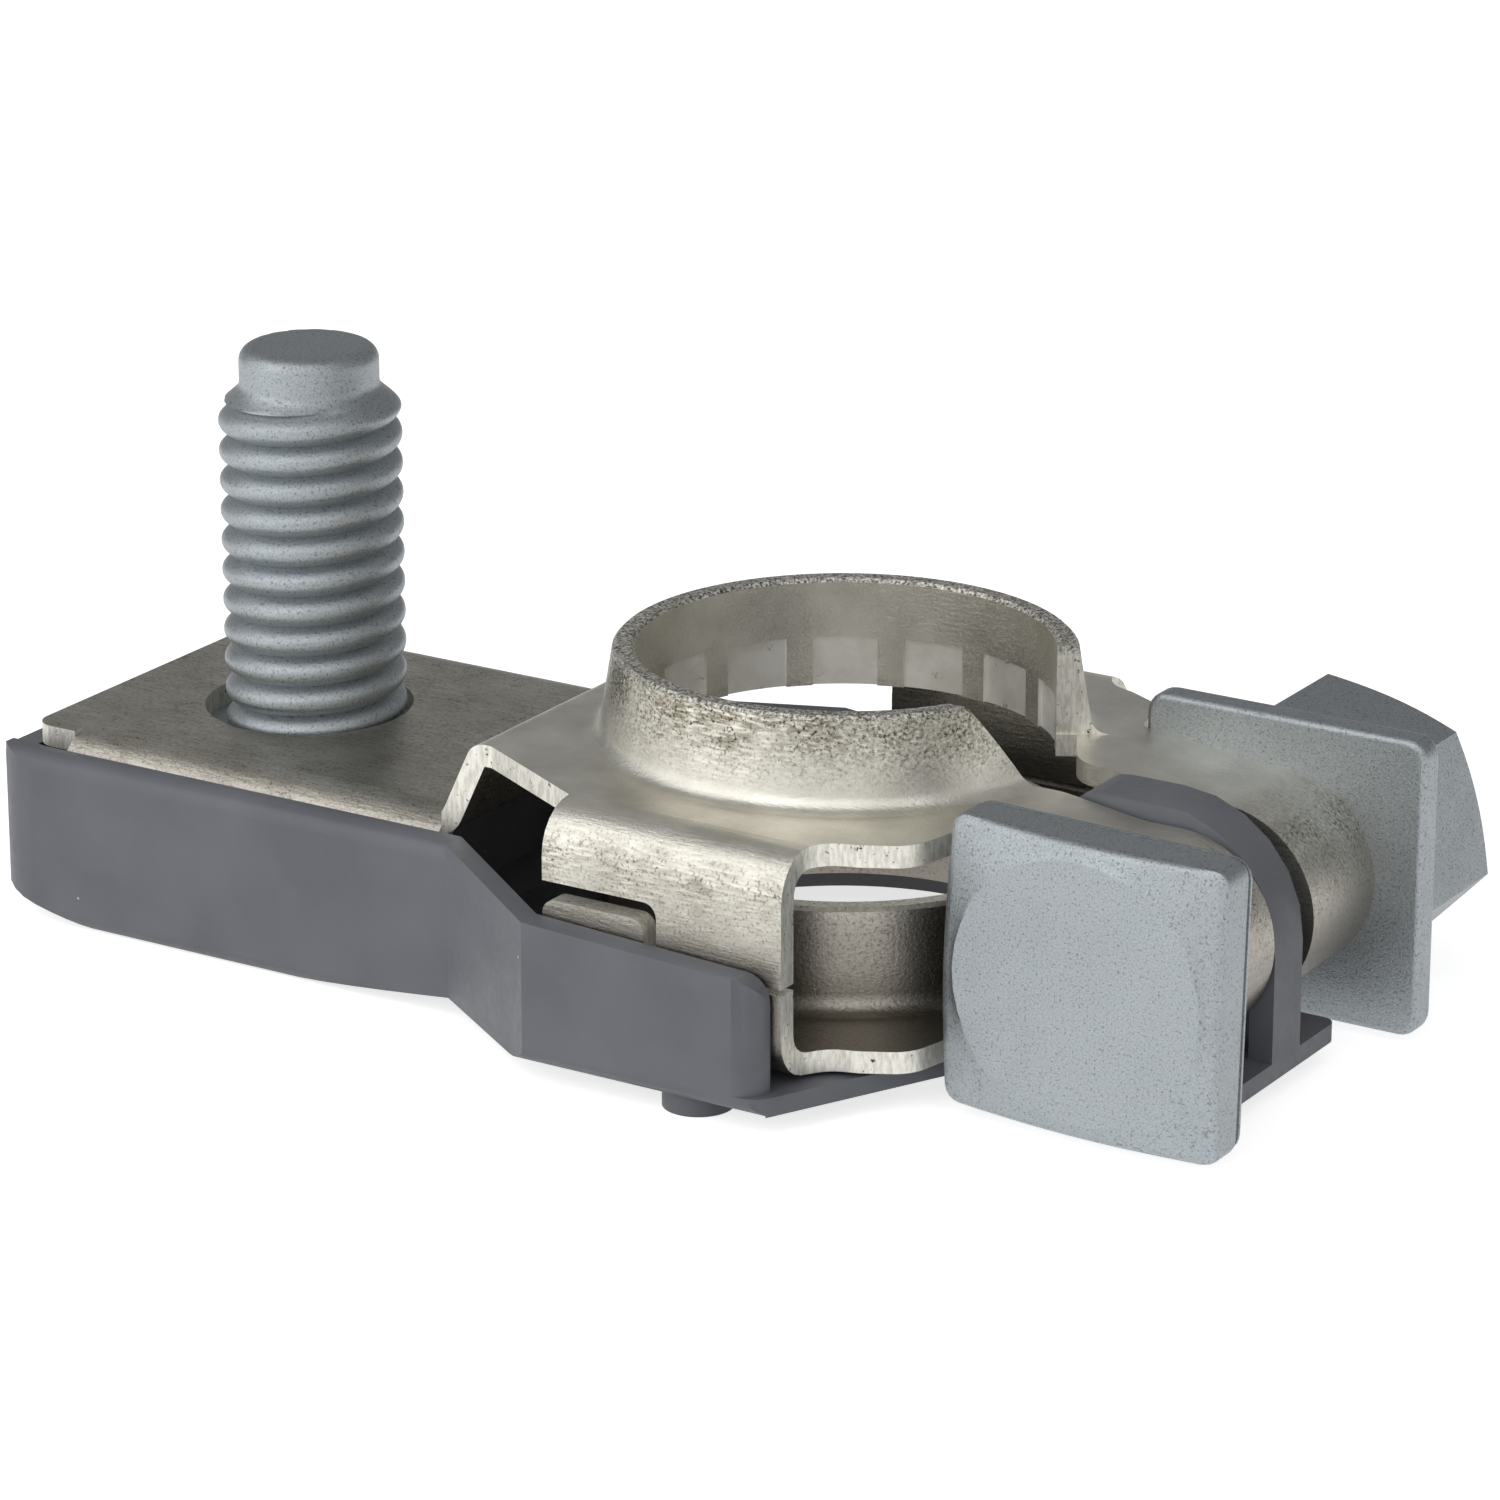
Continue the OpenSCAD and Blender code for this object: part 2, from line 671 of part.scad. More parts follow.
// Cross sections of the tray: its lower edges are rounded at the ring, its rims at the stud
tray_edge_r = tray_floor;
module tray_ring_section() {
    polygon(closed_outline([
        [-wide_half_w, tray_bottom_z, tray_edge_r],
        [wide_half_w, tray_bottom_z, tray_edge_r],
        [wide_half_w, 0, 0],
        [-wide_half_w, 0, 0]
    ]));
}
module tray_stud_section() {
    polygon(closed_outline([
        [-narrow_half_w, -stud_box_z, tray_edge_r],
        [narrow_half_w, -stud_box_z, tray_edge_r],
        [narrow_half_w, -tray_stud_top, tray_edge_r],
        [-narrow_half_w, -tray_stud_top, tray_edge_r]
    ]));
}

// The strap over the bolt: it lies flat, bends down round the ears, and has a leg at each side
strap_leg_x = bolt_x - ear_r - strap_t;
module strap_outline(inset, under) {
    polygon(closed_outline([
        [strap_leg_x + inset, under, 0],
        [strap_leg_x + inset, strap_rise - inset, big_corner],
        [tongue_x - inset, strap_rise - inset, strap_bend_r - inset],
        [tongue_x - inset, under, 0]
    ]));
}
module strap_side() {
    difference() {
        strap_outline(0, floor_z - tray_floor / 2);
        strap_outline(strap_t, floor_z - tray_floor);
        translate([bolt_x, bolt_z]) circle(r = bolt_d / 2 + bolt_play, $fn = round_facets);
    }
}

module support_tray() {
    translate([0, mid_y, 0]) tray_solid();
}

// The tray with its strap, its feet and the crib for the stud's head
module tray_solid() {
    crib_w = stud_head_w + 2 * tray_gap + 2 * crib_t;
    crib_z = stud_box_top_z - tray_floor / 2;
    head_z = plate_under_z - stud_head_t;
    color("#6B6D70") difference() {
        union() {
            difference() {
                intersection() {
                    translate([0, 0, -stud_box_z]) linear_extrude(stud_box_z)
                        tray_half_plan(0, tray_wall_x);
                    along_y(reach) tray_side(0, true);
                    union() {
                        along_x(-tray_narrow_x, tray_wall_x) tray_ring_section();
                        along_x(-tray_end_x, -tray_narrow_x) tray_stud_section();
                    }
                }
                intersection() {
                    translate([0, 0, -stud_box_z]) linear_extrude(stud_box_z + overrun)
                        tray_half_plan(tray_wall, tray_wall_x + overrun);
                    along_y(reach) tray_inside();
                }
            }
            // The floor under the ring and the tongue under the ears
            translate([0, 0, tray_bottom_z]) linear_extrude(tray_floor) tongue_half_plan();
            along_y(strap_w) strap_side();
            // The crib that holds the stud's square head
            translate([-stud_x, 0, crib_z]) linear_extrude(plate_under_z - floor_gap - crib_z)
                square(crib_w, center = true);
            for (side = [-1, 1])
                translate([foot_r, side * (wide_half_w - tray_edge_r - foot_r), foot_z])
                    cylinder(h = tray_bottom_z - foot_z + tray_floor / 2, r = foot_r, $fn = round_facets);
        }
        translate([-stud_x, 0, head_z]) linear_extrude(stud_box_z)
            square(stud_head_w + 2 * tray_gap, center = true);
        translate([0, -mid_y, -reach / 2]) cylinder(h = reach, r = post_way_r, $fn = round_facets);
        // The end wall ducks under the end of the stud plate
        translate([-tray_end_x - overrun, -plate_w / 2, plate_under_z - tray_gap])
            cube([plate_relief + overrun, plate_w, plate_drop + sheet_t]);
    }
}

// The space inside the tray, seen from the side
module tray_inside() {
    polygon(closed_outline([
        [-tray_end_x, overrun, 0],
        [-tray_end_x, -stud_box_z * end_lift_share + tray_floor, bend_r / 2],
        [-tray_end_x * box_left_share, -stud_box_z + tray_floor, bend_r / 2],
        [-tray_end_x * box_right_share, -stud_box_z + tray_floor, bend_r],
        [-tray_narrow_x, floor_z, 0],
        [tray_wall_x + overrun, floor_z, 0],
        [tray_wall_x + overrun, overrun, 0]
    ]));
}

terminal_sheet();
clamp_bolt();
clamp_washer();
clamp_nut();
stud_bolt();
support_tray();
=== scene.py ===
"""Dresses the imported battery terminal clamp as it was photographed.

The clamp is one folded piece of tin plated sheet with a split collar for the
battery post, a cross bolt with its washer and nut, an upright stud for a cable
lug, and a moulded tray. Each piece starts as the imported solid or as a
primitive, gets its broken edges and threads here, and rides on the solid's
body. Sizes are millimetres until a piece is finished.
"""

import logging
import math
from dataclasses import dataclass
from enum import Enum
from typing import Callable, Iterable

import bmesh
import bpy
from mathutils import Matrix, Vector

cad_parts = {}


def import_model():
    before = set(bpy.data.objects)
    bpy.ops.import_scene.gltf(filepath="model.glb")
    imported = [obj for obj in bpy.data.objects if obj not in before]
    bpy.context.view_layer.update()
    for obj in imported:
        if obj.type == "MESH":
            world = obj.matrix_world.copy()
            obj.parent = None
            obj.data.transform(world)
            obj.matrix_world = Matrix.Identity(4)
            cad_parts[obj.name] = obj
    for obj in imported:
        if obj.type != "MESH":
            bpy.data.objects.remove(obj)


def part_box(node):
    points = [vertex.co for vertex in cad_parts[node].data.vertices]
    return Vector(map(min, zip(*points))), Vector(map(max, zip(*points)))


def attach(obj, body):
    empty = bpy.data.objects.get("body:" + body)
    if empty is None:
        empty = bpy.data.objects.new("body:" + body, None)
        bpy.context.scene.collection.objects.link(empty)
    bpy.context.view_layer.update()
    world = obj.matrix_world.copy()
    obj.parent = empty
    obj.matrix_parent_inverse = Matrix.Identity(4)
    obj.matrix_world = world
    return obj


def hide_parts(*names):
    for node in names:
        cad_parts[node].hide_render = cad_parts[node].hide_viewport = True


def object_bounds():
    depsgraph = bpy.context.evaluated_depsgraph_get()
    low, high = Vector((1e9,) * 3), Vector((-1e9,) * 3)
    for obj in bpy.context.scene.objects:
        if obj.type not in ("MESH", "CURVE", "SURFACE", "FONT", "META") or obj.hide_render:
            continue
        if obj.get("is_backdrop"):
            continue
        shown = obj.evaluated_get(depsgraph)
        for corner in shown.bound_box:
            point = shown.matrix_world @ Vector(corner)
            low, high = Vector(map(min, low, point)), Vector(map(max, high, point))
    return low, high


log = logging.getLogger("terminal_clamp")

MM = 0.001
FLAT_ANGLE = math.radians(0.4)
SMOOTH_ANGLE = math.radians(32.0)
SAME_POINT = 0.0004


class Slot(Enum):
    """The finishes that the record names."""

    SHEET = "plated_sheet"
    FASTENER = "coated_fastener"
    TRAY = "tray_plastic"


class Body(Enum):
    """The bodies that a piece can ride on."""

    CLAMP = "clamp"
    WASHER = "washer"
    NUT = "nut"


# Materials


def linear(code: str) -> tuple[float, float, float, float]:
    """Turns an sRGB hex colour into linear light.

    Args:
        code: Six hex digits after a hash sign.

    Returns:
        Red, green, blue and a full alpha.
    """
    parts = [int(code[i : i + 2], 16) / 255 for i in (1, 3, 5)]
    light = [c / 12.92 if c <= 0.04045 else ((c + 0.055) / 1.055) ** 2.4 for c in parts]
    return (light[0], light[1], light[2], 1.0)


def add_node(
    tree: bpy.types.NodeTree,
    kind: str,
    settings: dict[str, object] | None = None,
    inputs: dict[str | int, object] | None = None,
) -> bpy.types.Node:
    """Adds a node with its settings, and fills or links its sockets.

    Args:
        tree: The node tree that gets the node.
        kind: The node's type name.
        settings: Attributes of the node to set.
        inputs: Sockets by name or number, each with a value or the output to link.

    Returns:
        The new node.
    """
    node = tree.nodes.new(kind)
    for name, value in (settings or {}).items():
        setattr(node, name, value)
    for key, value in (inputs or {}).items():
        if isinstance(value, bpy.types.NodeSocket):
            tree.links.new(value, node.inputs[key])
        else:
            node.inputs[key].default_value = value
    return node


def per_metre(size_mm: float) -> float:
    """Gives the pattern scale whose features are about size_mm across."""
    return 1.0 / (size_mm * MM)


# Numbers of the colour sockets on Blender's Mix node
MIX_A, MIX_B, MIX_RESULT = 6, 7, 2


class Painter:
    """A material's node tree, with the few steps that every finish here takes."""

    def __init__(self, name: str) -> None:
        """Starts an empty material with object coordinates."""
        self.material = bpy.data.materials.new(name)
        self.material.use_nodes = True
        self.tree = self.material.node_tree
        self.tree.nodes.clear()
        self.place = add_node(self.tree, "ShaderNodeTexCoord").outputs["Object"]

    def noise(
        self, size_mm: float, detail: float = 3.0, stretch: Vector | None = None
    ) -> bpy.types.NodeSocket:
        """Adds a noise pattern.

        Args:
            size_mm: Size of its features.
            detail: Number of finer layers.
            stretch: How much finer it is along each axis.

        Returns:
            The noise's value.
        """
        place = self.place
        if stretch is not None:
            place = add_node(
                self.tree,
                "ShaderNodeMapping",
                inputs={"Vector": place, "Scale": stretch},
            ).outputs["Vector"]
        return add_node(
            self.tree,
            "ShaderNodeTexNoise",
            inputs={"Vector": place, "Scale": per_metre(size_mm), "Detail": detail, "Roughness": 0.6},
        ).outputs["Fac"]

    def spots(self, size_mm: float, share: float) -> bpy.types.NodeSocket:
        """Adds scattered round spots.

        Args:
            size_mm: Distance from one spot's cell to the next.
            share: Radius of a spot, as a share of that distance.

        Returns:
            One on a spot and zero off it.
        """
        distance = add_node(
            self.tree,
            "ShaderNodeTexVoronoi",
            inputs={"Vector": self.place, "Scale": per_metre(size_mm)},
        ).outputs["Distance"]
        return self.ramp(distance, share, share * 0.4)

    def ramp(
        self,
        value: bpy.types.NodeSocket,
        low: float,
        high: float,
        to_low: float = 0.0,
        to_high: float = 1.0,
    ) -> bpy.types.NodeSocket:
        """Maps low..high to to_low..to_high and clamps.

        Args:
            value: The value to map.
            low: Value that gives to_low.
            high: Value that gives to_high.
            to_low: Result at low.
            to_high: Result at high.

        Returns:
            The mapped value.
        """
        return add_node(
            self.tree,
            "ShaderNodeMapRange",
            inputs={
                "Value": value,
                "From Min": low,
                "From Max": high,
                "To Min": to_low,
                "To Max": to_high,
            },
        ).outputs["Result"]

    def ramp_mm(
        self,
        length: bpy.types.NodeSocket,
        ends: tuple[float, float],
        to_low: float = 0.0,
        to_high: float = 1.0,
    ) -> bpy.types.NodeSocket:
        """Maps a length in metres by two ends in millimetres, and clamps.

        Args:
            length: The length to map.
            ends: The lengths that give to_low and to_high.
            to_low: Result at the first end.
            to_high: Result at the second end.

        Returns:
            The mapped value.
        """
        low, high = (end * MM for end in ends)
        return self.ramp(length, low, high, to_low, to_high)

    def coordinate(self, axis: str) -> bpy.types.NodeSocket:
        """Gives one of the object coordinates, in metres."""
        parts = add_node(self.tree, "ShaderNodeSeparateXYZ", inputs={"Vector": self.place})
        return parts.outputs[axis]

    def radius(self) -> bpy.types.NodeSocket:
        """Gives the distance from the battery post's axis, in metres."""
        flat = add_node(
            self.tree,
            "ShaderNodeCombineXYZ",
            inputs={"X": self.coordinate("X"), "Y": self.coordinate("Y")},
        ).outputs["Vector"]
        return add_node(
            self.tree, "ShaderNodeVectorMath", {"operation": "LENGTH"}, {0: flat}
        ).outputs["Value"]

    def product(
        self, a: bpy.types.NodeSocket, b: bpy.types.NodeSocket | float
    ) -> bpy.types.NodeSocket:
        """Multiplies two values."""
        return add_node(
            self.tree, "ShaderNodeMath", {"operation": "MULTIPLY"}, {0: a, 1: b}
        ).outputs["Value"]

    def blend(
        self, factor: bpy.types.NodeSocket, a: object, b: object
    ) -> bpy.types.NodeSocket:
        """Mixes two colours.

        Args:
            factor: Zero gives a and one gives b.
            a: A hex colour or a colour output.
            b: A hex colour or a colour output.

        Returns:
            The mixed colour.
        """
        colours = [linear(c) if isinstance(c, str) else c for c in (a, b)]
        return add_node(
            self.tree,
            "ShaderNodeMix",
            {"data_type": "RGBA"},
            {0: factor, MIX_A: colours[0], MIX_B: colours[1]},
        ).outputs[MIX_RESULT]

    def bump(
        self,
        height: bpy.types.NodeSocket,
        depth_mm: float,
        strength: float = 1.0,
        under: bpy.types.NodeSocket | None = None,
    ) -> bpy.types.NodeSocket:
        """Adds a bump.

        Args:
            height: The height, from zero to one.
            depth_mm: The depth that one stands for.
            strength: Share of the bump that shows.
            under: A bump that this one lies on.

        Returns:
            The bumped normal.
        """
        inputs: dict[str | int, object] = {
            "Height": height,
            "Distance": depth_mm * MM,
            "Strength": strength,
        }
        if under is not None:
            inputs["Normal"] = under
        return add_node(self.tree, "ShaderNodeBump", inputs=inputs).outputs["Normal"]

    def finish(self, **sockets: object) -> bpy.types.Material:
        """Joins the shader to the output.

        Args:
            sockets: The shader's sockets, with spaces as underscores.

        Returns:
            The finished material.
        """
        inputs = {name.replace("_", " "): value for name, value in sockets.items()}
        shader = add_node(self.tree, "ShaderNodeBsdfPrincipled", inputs=inputs)
        output = add_node(self.tree, "ShaderNodeOutputMaterial")
        self.tree.links.new(shader.outputs["BSDF"], output.inputs["Surface"])
        return self.material


@dataclass(frozen=True)
class TinPlatedBrass:
    """Tin plated brass sheet: satin, warm grey, with dark grain where the tools rubbed it.

    The grain is thick on the bends and side walls and round the outside of the
    collar's rim, and thin on the flats, as a folded and drawn sheet has it. Below
    the plate the colour is blended evenly towards a darker grey, the lower the darker.
    """

    light: str = "#ECE9DF"
    dark: str = "#D2CFC5"
    wear_and_shade_colour: str = "#8B8674"
    lower_grey: str = "#9C968E"
    speck: str = "#3F3C35"
    roughness: tuple[float, float] = (0.3, 0.46)
    cloud_mm: float = 3.0
    grain_mm: float = 0.1
    stroke_mm: float = 0.7
    strokes: tuple[float, float, float] = (1.0, 7.0, 7.0)
    patch_mm: float = 1.6
    patches: tuple[float, float, float] = (0.3, 0.62, 0.45)
    bend_z_mm: tuple[float, float] = (-0.3, -1.1)
    bend_wear: tuple[float, float] = (0.05, 0.8)
    deep_z_mm: tuple[float, float] = (-1.5, -4.0)
    deep_wear: tuple[float, float] = (1.0, 0.45)
    lower_grey_share: float = 0.9
    rim_z_mm: tuple[float, float] = (0.35, 2.3)
    rim_wear: float = 1.3
    collar_r_mm: tuple[float, float] = (6.75, 6.95)

    def wear(self, paint: Painter) -> bpy.types.NodeSocket:
        """Gives how much the tools rubbed the sheet at a place, from zero to one."""
        z = paint.coordinate("Z")
        bends = paint.product(
            paint.ramp_mm(z, self.bend_z_mm, *self.bend_wear),
            paint.ramp_mm(z, self.deep_z_mm, *self.deep_wear),
        )
        rim = paint.product(
            paint.ramp_mm(z, self.rim_z_mm, 0.0, self.rim_wear),
            paint.ramp_mm(paint.radius(), self.collar_r_mm),
        )
        place = add_node(paint.tree, "ShaderNodeMath", {"operation": "MAXIMUM"}, {0: bends, 1: rim})
        patches = paint.ramp(paint.noise(self.patch_mm), *self.patches)
        return paint.product(place.outputs["Value"], patches)

    def build(self) -> bpy.types.Material:
        """Makes the material."""
        paint = Painter("tin plated brass")
        cloud = paint.ramp(paint.noise(self.cloud_mm), 0.35, 0.65)
        grain = paint.noise(self.grain_mm, 3.0)
        drag = paint.noise(self.stroke_mm, 3.0, Vector(self.strokes))
        wear = self.wear(paint)
        # Darker towards the bottom: below -1.5 mm the colour is blended evenly towards a darker grey.
        deep = paint.ramp_mm(paint.coordinate("Z"), self.deep_z_mm, 0.0, self.lower_grey_share)
        colour = paint.blend(cloud, self.dark, self.light)
        colour = paint.blend(paint.product(paint.ramp(drag, 0.3, 0.62), wear), colour, self.wear_and_shade_colour)
        colour = paint.blend(deep, colour, self.lower_grey)
        colour = paint.blend(paint.product(paint.ramp(grain, 0.53, 0.66), wear), colour, self.speck)
        rough = paint.ramp(grain, 0.3, 0.7, *self.roughness)
        normal = paint.bump(grain, 0.02, 0.5)
        normal = paint.bump(drag, 0.03, 0.4, normal)
        return paint.finish(Base_Color=colour, Metallic=1.0, Roughness=rough, Normal=normal)


@dataclass(frozen=True)
class CoinedTin:
    """Tin pressed smooth by the coining tool: lighter and more even than the sheet round it."""

    light: str = "#F4F2EC"
    dark: str = "#E2DFD6"
    stain: str = "#A39A88"

    def build(self) -> bpy.types.Material:
        """Makes the material."""
        paint = Painter("coined tin")
        colour = paint.blend(paint.ramp(paint.noise(1.2, 3.0), 0.35, 0.65), self.dark, self.light)
        colour = paint.blend(paint.ramp(paint.noise(0.5, 3.0), 0.66, 0.74), colour, self.stain)
        normal = paint.bump(paint.noise(0.15, 2.0), 0.01, 0.4)
        return paint.finish(Base_Color=colour, Metallic=0.75, Roughness=0.42, Normal=normal)


@dataclass(frozen=True)
class BlankedEdge:
    """Edge of the blanked sheet: bright torn metal, finely scored, with a few dark pits.

    The top of the collar's rim, which is the highest edge, carries painted shade: a dark colour broken up
    by a fine grain.
    """

    light: str = "#F2F0E8"
    dark: str = "#D6D3C8"
    pit: str = "#4A473F"
    # Colour of the painted shade on the top of the collar's rim.
    wear_and_shade_colour: str = "#55524A"
    rim_z_mm: tuple[float, float] = (2.5, 2.75)

    def build(self) -> bpy.types.Material:
        """Makes the material."""
        paint = Painter("blanked sheet edge")
        score = paint.noise(0.4, 3.0, Vector((3.0, 3.0, 0.8)))
        colour = paint.blend(paint.ramp(score, 0.38, 0.6), self.dark, self.light)
        colour = paint.blend(paint.ramp(paint.noise(0.16, 3.0), 0.64, 0.72), colour, self.pit)
        # Painted shade: the top of the collar's rim is darkened, broken up by grain.
        rim = paint.ramp_mm(paint.coordinate("Z"), self.rim_z_mm)
        grain = paint.ramp(paint.noise(0.09, 2.0), 0.35, 0.65)
        colour = paint.blend(paint.product(rim, grain), colour, self.wear_and_shade_colour)
        normal = paint.bump(score, 0.03, 0.6)
        return paint.finish(Base_Color=colour, Metallic=0.8, Roughness=0.5, Normal=normal)


@dataclass(frozen=True)
class ZincFlakeSteel:
    """Zinc flake coated steel: matt blue-grey with a fine sandy grain."""

    light: str = "#AFB5B8"
    dark: str = "#9FA5A9"
    pit: str = "#858A8D"
    grain_mm: float = 0.06

    def build(self) -> bpy.types.Material:
        """Makes the material."""
        paint = Painter("zinc flake coated steel")
        grain = paint.noise(self.grain_mm, 2.0)
        colour = paint.blend(paint.ramp(grain, 0.4, 0.6), self.dark, self.light)
        colour = paint.blend(paint.ramp(paint.noise(0.09, 1.0), 0.58, 0.7), colour, self.pit)
        normal = paint.bump(grain, 0.02, 0.8)
        rough = paint.ramp(paint.noise(1.5, 2.0), 0.3, 0.7, 0.42, 0.52)
        return paint.finish(Base_Color=colour, Metallic=0.95, Roughness=rough, Normal=normal)


@dataclass(frozen=True)
class MouldedPolyamide:
    """Injection moulded grey polyamide: satin, faintly mottled, with specks of dust."""

    base: str = "#696B71"
    shade: str = "#606268"
    dust: str = "#C9CBCD"

    def build(self) -> bpy.types.Material:
        """Makes the material."""
        paint = Painter("moulded polyamide")
        cloud = paint.ramp(paint.noise(4.0, 2.0), 0.35, 0.65)
        colour = paint.blend(cloud, self.shade, self.base)
        specks = paint.product(paint.spots(1.7, 0.035), paint.ramp(paint.noise(5.0), 0.5, 0.56))
        colour = paint.blend(specks, colour, self.dust)
        grain = paint.noise(0.3, 3.0)
        normal = paint.bump(grain, 0.006, 0.6)
        rough = paint.ramp(grain, 0.3, 0.7, 0.42, 0.54)
        return paint.finish(Base_Color=colour, Roughness=rough, Normal=normal)


# Modelling steps


def only(obj: bpy.types.Object) -> bpy.types.Object:
    """Selects obj alone and makes it active.

    Args:
        obj: The object to work on.

    Returns:
        The same object.
    """
    for other in bpy.context.selected_objects:
        other.select_set(False)
    obj.select_set(True)
    bpy.context.view_layer.objects.active = obj
    return obj


def in_edit_mode(obj: bpy.types.Object, *steps: Callable[[], object]) -> None:
    """Runs steps on the whole of obj's mesh in edit mode.

    Args:
        obj: The object to edit.
        steps: Operators to call one after another, with all selected before each.
    """
    only(obj)
    bpy.ops.object.mode_set(mode="EDIT")
    for step in steps:
        bpy.ops.mesh.select_all(action="SELECT")
        step()
    bpy.ops.object.mode_set(mode="OBJECT")


def apply_modifier(obj: bpy.types.Object, kind: str, **settings: object) -> None:
    """Adds a modifier to obj and applies it.

    Args:
        obj: The object to change.
        kind: The modifier's type.
        settings: Attributes of the modifier.
    """
    only(obj)
    modifier = obj.modifiers.new(kind.lower(), kind)
    for name, value in settings.items():
        setattr(modifier, name, value)
    bpy.ops.object.modifier_apply(modifier=modifier.name)


def node_copy(node: str, name: str) -> bpy.types.Object:
    """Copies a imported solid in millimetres, with its doubles merged and its flats whole.

    Args:
        node: The solid's name.
        name: Name of the new piece.

    Returns:
        The new object.
    """
    mesh = bpy.data.objects[node].data.copy()
    mesh.name = name
    mesh.materials.clear()
    obj = bpy.data.objects.new(name, mesh)
    bpy.context.scene.collection.objects.link(obj)
    mesh.transform(Matrix.Scale(1.0 / MM, 4))
    only(obj)
    bpy.ops.mesh.customdata_custom_splitnormals_clear()
    in_edit_mode(
        obj,
        lambda: bpy.ops.mesh.remove_doubles(threshold=SAME_POINT),
        lambda: bpy.ops.mesh.dissolve_limited(angle_limit=FLAT_ANGLE),
    )
    return obj


def break_edges(obj: bpy.types.Object, width: float, segments: int = 2) -> None:
    """Rounds the sharp edges of a piece.

    Args:
        obj: The piece.
        width: Width of the rounding in millimetres.
        segments: Number of facets across it.
    """
    apply_modifier(
        obj,
        "BEVEL",
        width=width,
        segments=segments,
        limit_method="ANGLE",
        angle_limit=SMOOTH_ANGLE,
        miter_outer="MITER_ARC",
        use_clamp_overlap=True,
    )


def smooth(obj: bpy.types.Object) -> None:
    """Shades a piece smoothly, with its flats kept flat."""
    only(obj)
    bpy.ops.object.shade_smooth_by_angle(angle=SMOOTH_ANGLE)
    apply_modifier(obj, "WEIGHTED_NORMAL", keep_sharp=True)


def finish_piece(
    obj: bpy.types.Object,
    materials: Iterable[bpy.types.Material],
    slot: Slot,
    body: Body,
    *nodes: str,
) -> bpy.types.Object:
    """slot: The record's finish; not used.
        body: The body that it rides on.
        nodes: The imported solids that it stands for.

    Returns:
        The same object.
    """
    obj.data.transform(Matrix.Scale(MM, 4))
    for material in materials:
        obj.data.materials.append(material)
    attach(obj, body.value)
    if nodes:
        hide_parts(*nodes)
    log.info("%s: %d faces on %s", obj.name, len(obj.data.polygons), body.value)
    return obj


def cut(obj: bpy.types.Object, cutter: bpy.types.Object) -> None:
    """Cuts a solid away from a piece, and takes the cutter out of the scene.

    Args:
        obj: The piece.
        cutter: The solid to cut with.
    """
    apply_modifier(obj, "BOOLEAN", operation="DIFFERENCE", solver="EXACT", object=cutter)
    bpy.data.objects.remove(cutter)


def fuse(obj: bpy.types.Object, other: bpy.types.Object) -> None:
    """Makes another solid one with a piece, and takes it out of the scene.

    Args:
        obj: The piece.
        other: The solid to add.
    """
    apply_modifier(obj, "BOOLEAN", operation="UNION", solver="EXACT", object=other)
    bpy.data.objects.remove(other)


def block(low: Vector, high: Vector, cuts: int = 0) -> bpy.types.Object:
    """Makes a block between two corners.

    Args:
        low: Its lowest corner.
        high: Its highest corner.
        cuts: Number of cuts across each of its edges.

    Returns:
        The new object.
    """
    bpy.ops.object.select_all(action="DESELECT")
    bpy.ops.mesh.primitive_cube_add(size=1)
    obj = bpy.context.active_object
    if cuts:
        in_edit_mode(obj, lambda: bpy.ops.mesh.subdivide(number_cuts=cuts))
    size = Matrix.Diagonal((*(high - low), 1.0))
    obj.data.transform(Matrix.Translation((low + high) / 2) @ size)
    return obj


def narrow_patches(obj: bpy.types.Object, width: float) -> set[int]:
    """Finds the faces that are the sheet's cut edges.

    Faces that meet at less than the smoothing angle form one patch, and a patch
    that is no wider than the sheet is thick is a cut edge.

    Args:
        obj: The piece, in millimetres.
        width: The widest that a cut edge is.

    Returns:
        The numbers of those faces.
    """
    found: set[int] = set()
    shape = bmesh.new()
    shape.from_mesh(obj.data)
    shape.faces.ensure_lookup_table()
    seen: set[int] = set()
    for seed in shape.faces:
        if seed.index in seen:
            continue
        patch, queue = [], [seed]
        seen.add(seed.index)
        rim = 0.0
        while queue:
            face = queue.pop()
            patch.append(face)
            for edge in face.edges:
                others = [f for f in edge.link_faces if f is not face]
                if not others or edge.calc_face_angle(math.pi) > SMOOTH_ANGLE:
                    rim += edge.calc_length()
                    continue
                for other in others:
                    if other.index not in seen:
                        seen.add(other.index)
                        queue.append(other)
        area = sum(face.calc_area() for face in patch)
        if rim and 2.0 * area / rim < width:
            found.update(face.index for face in patch)
    shape.free()
    return found


def rolled_grid(
    name: str, columns: int, rows: int, place: Callable[[int, int], Vector]
) -> bpy.types.Object:
    """Rolls a grid up into a closed form.

    Args:
        name: Name of the new object.
        columns: Number of steps round it.
        rows: Number of steps along it.
        place: Gives the point at a step round it and a step along it.

    Returns:
        The new object.
    """
    bpy.ops.object.select_all(action="DESELECT")
    bpy.ops.mesh.primitive_grid_add(x_subdivisions=columns, y_subdivisions=rows, size=1)
    obj = bpy.context.active_object
    obj.name = obj.data.name = name
    for vertex in obj.data.vertices:
        column = round((vertex.co.x + 0.5) * columns)
        row = round((vertex.co.y + 0.5) * rows)
        vertex.co = place(column, row)
    in_edit_mode(
        obj,
        lambda: bpy.ops.mesh.remove_doubles(threshold=SAME_POINT),
        lambda: bpy.ops.mesh.fill_holes(sides=0),
        lambda: bpy.ops.mesh.normals_make_consistent(inside=False),
    )
    return obj


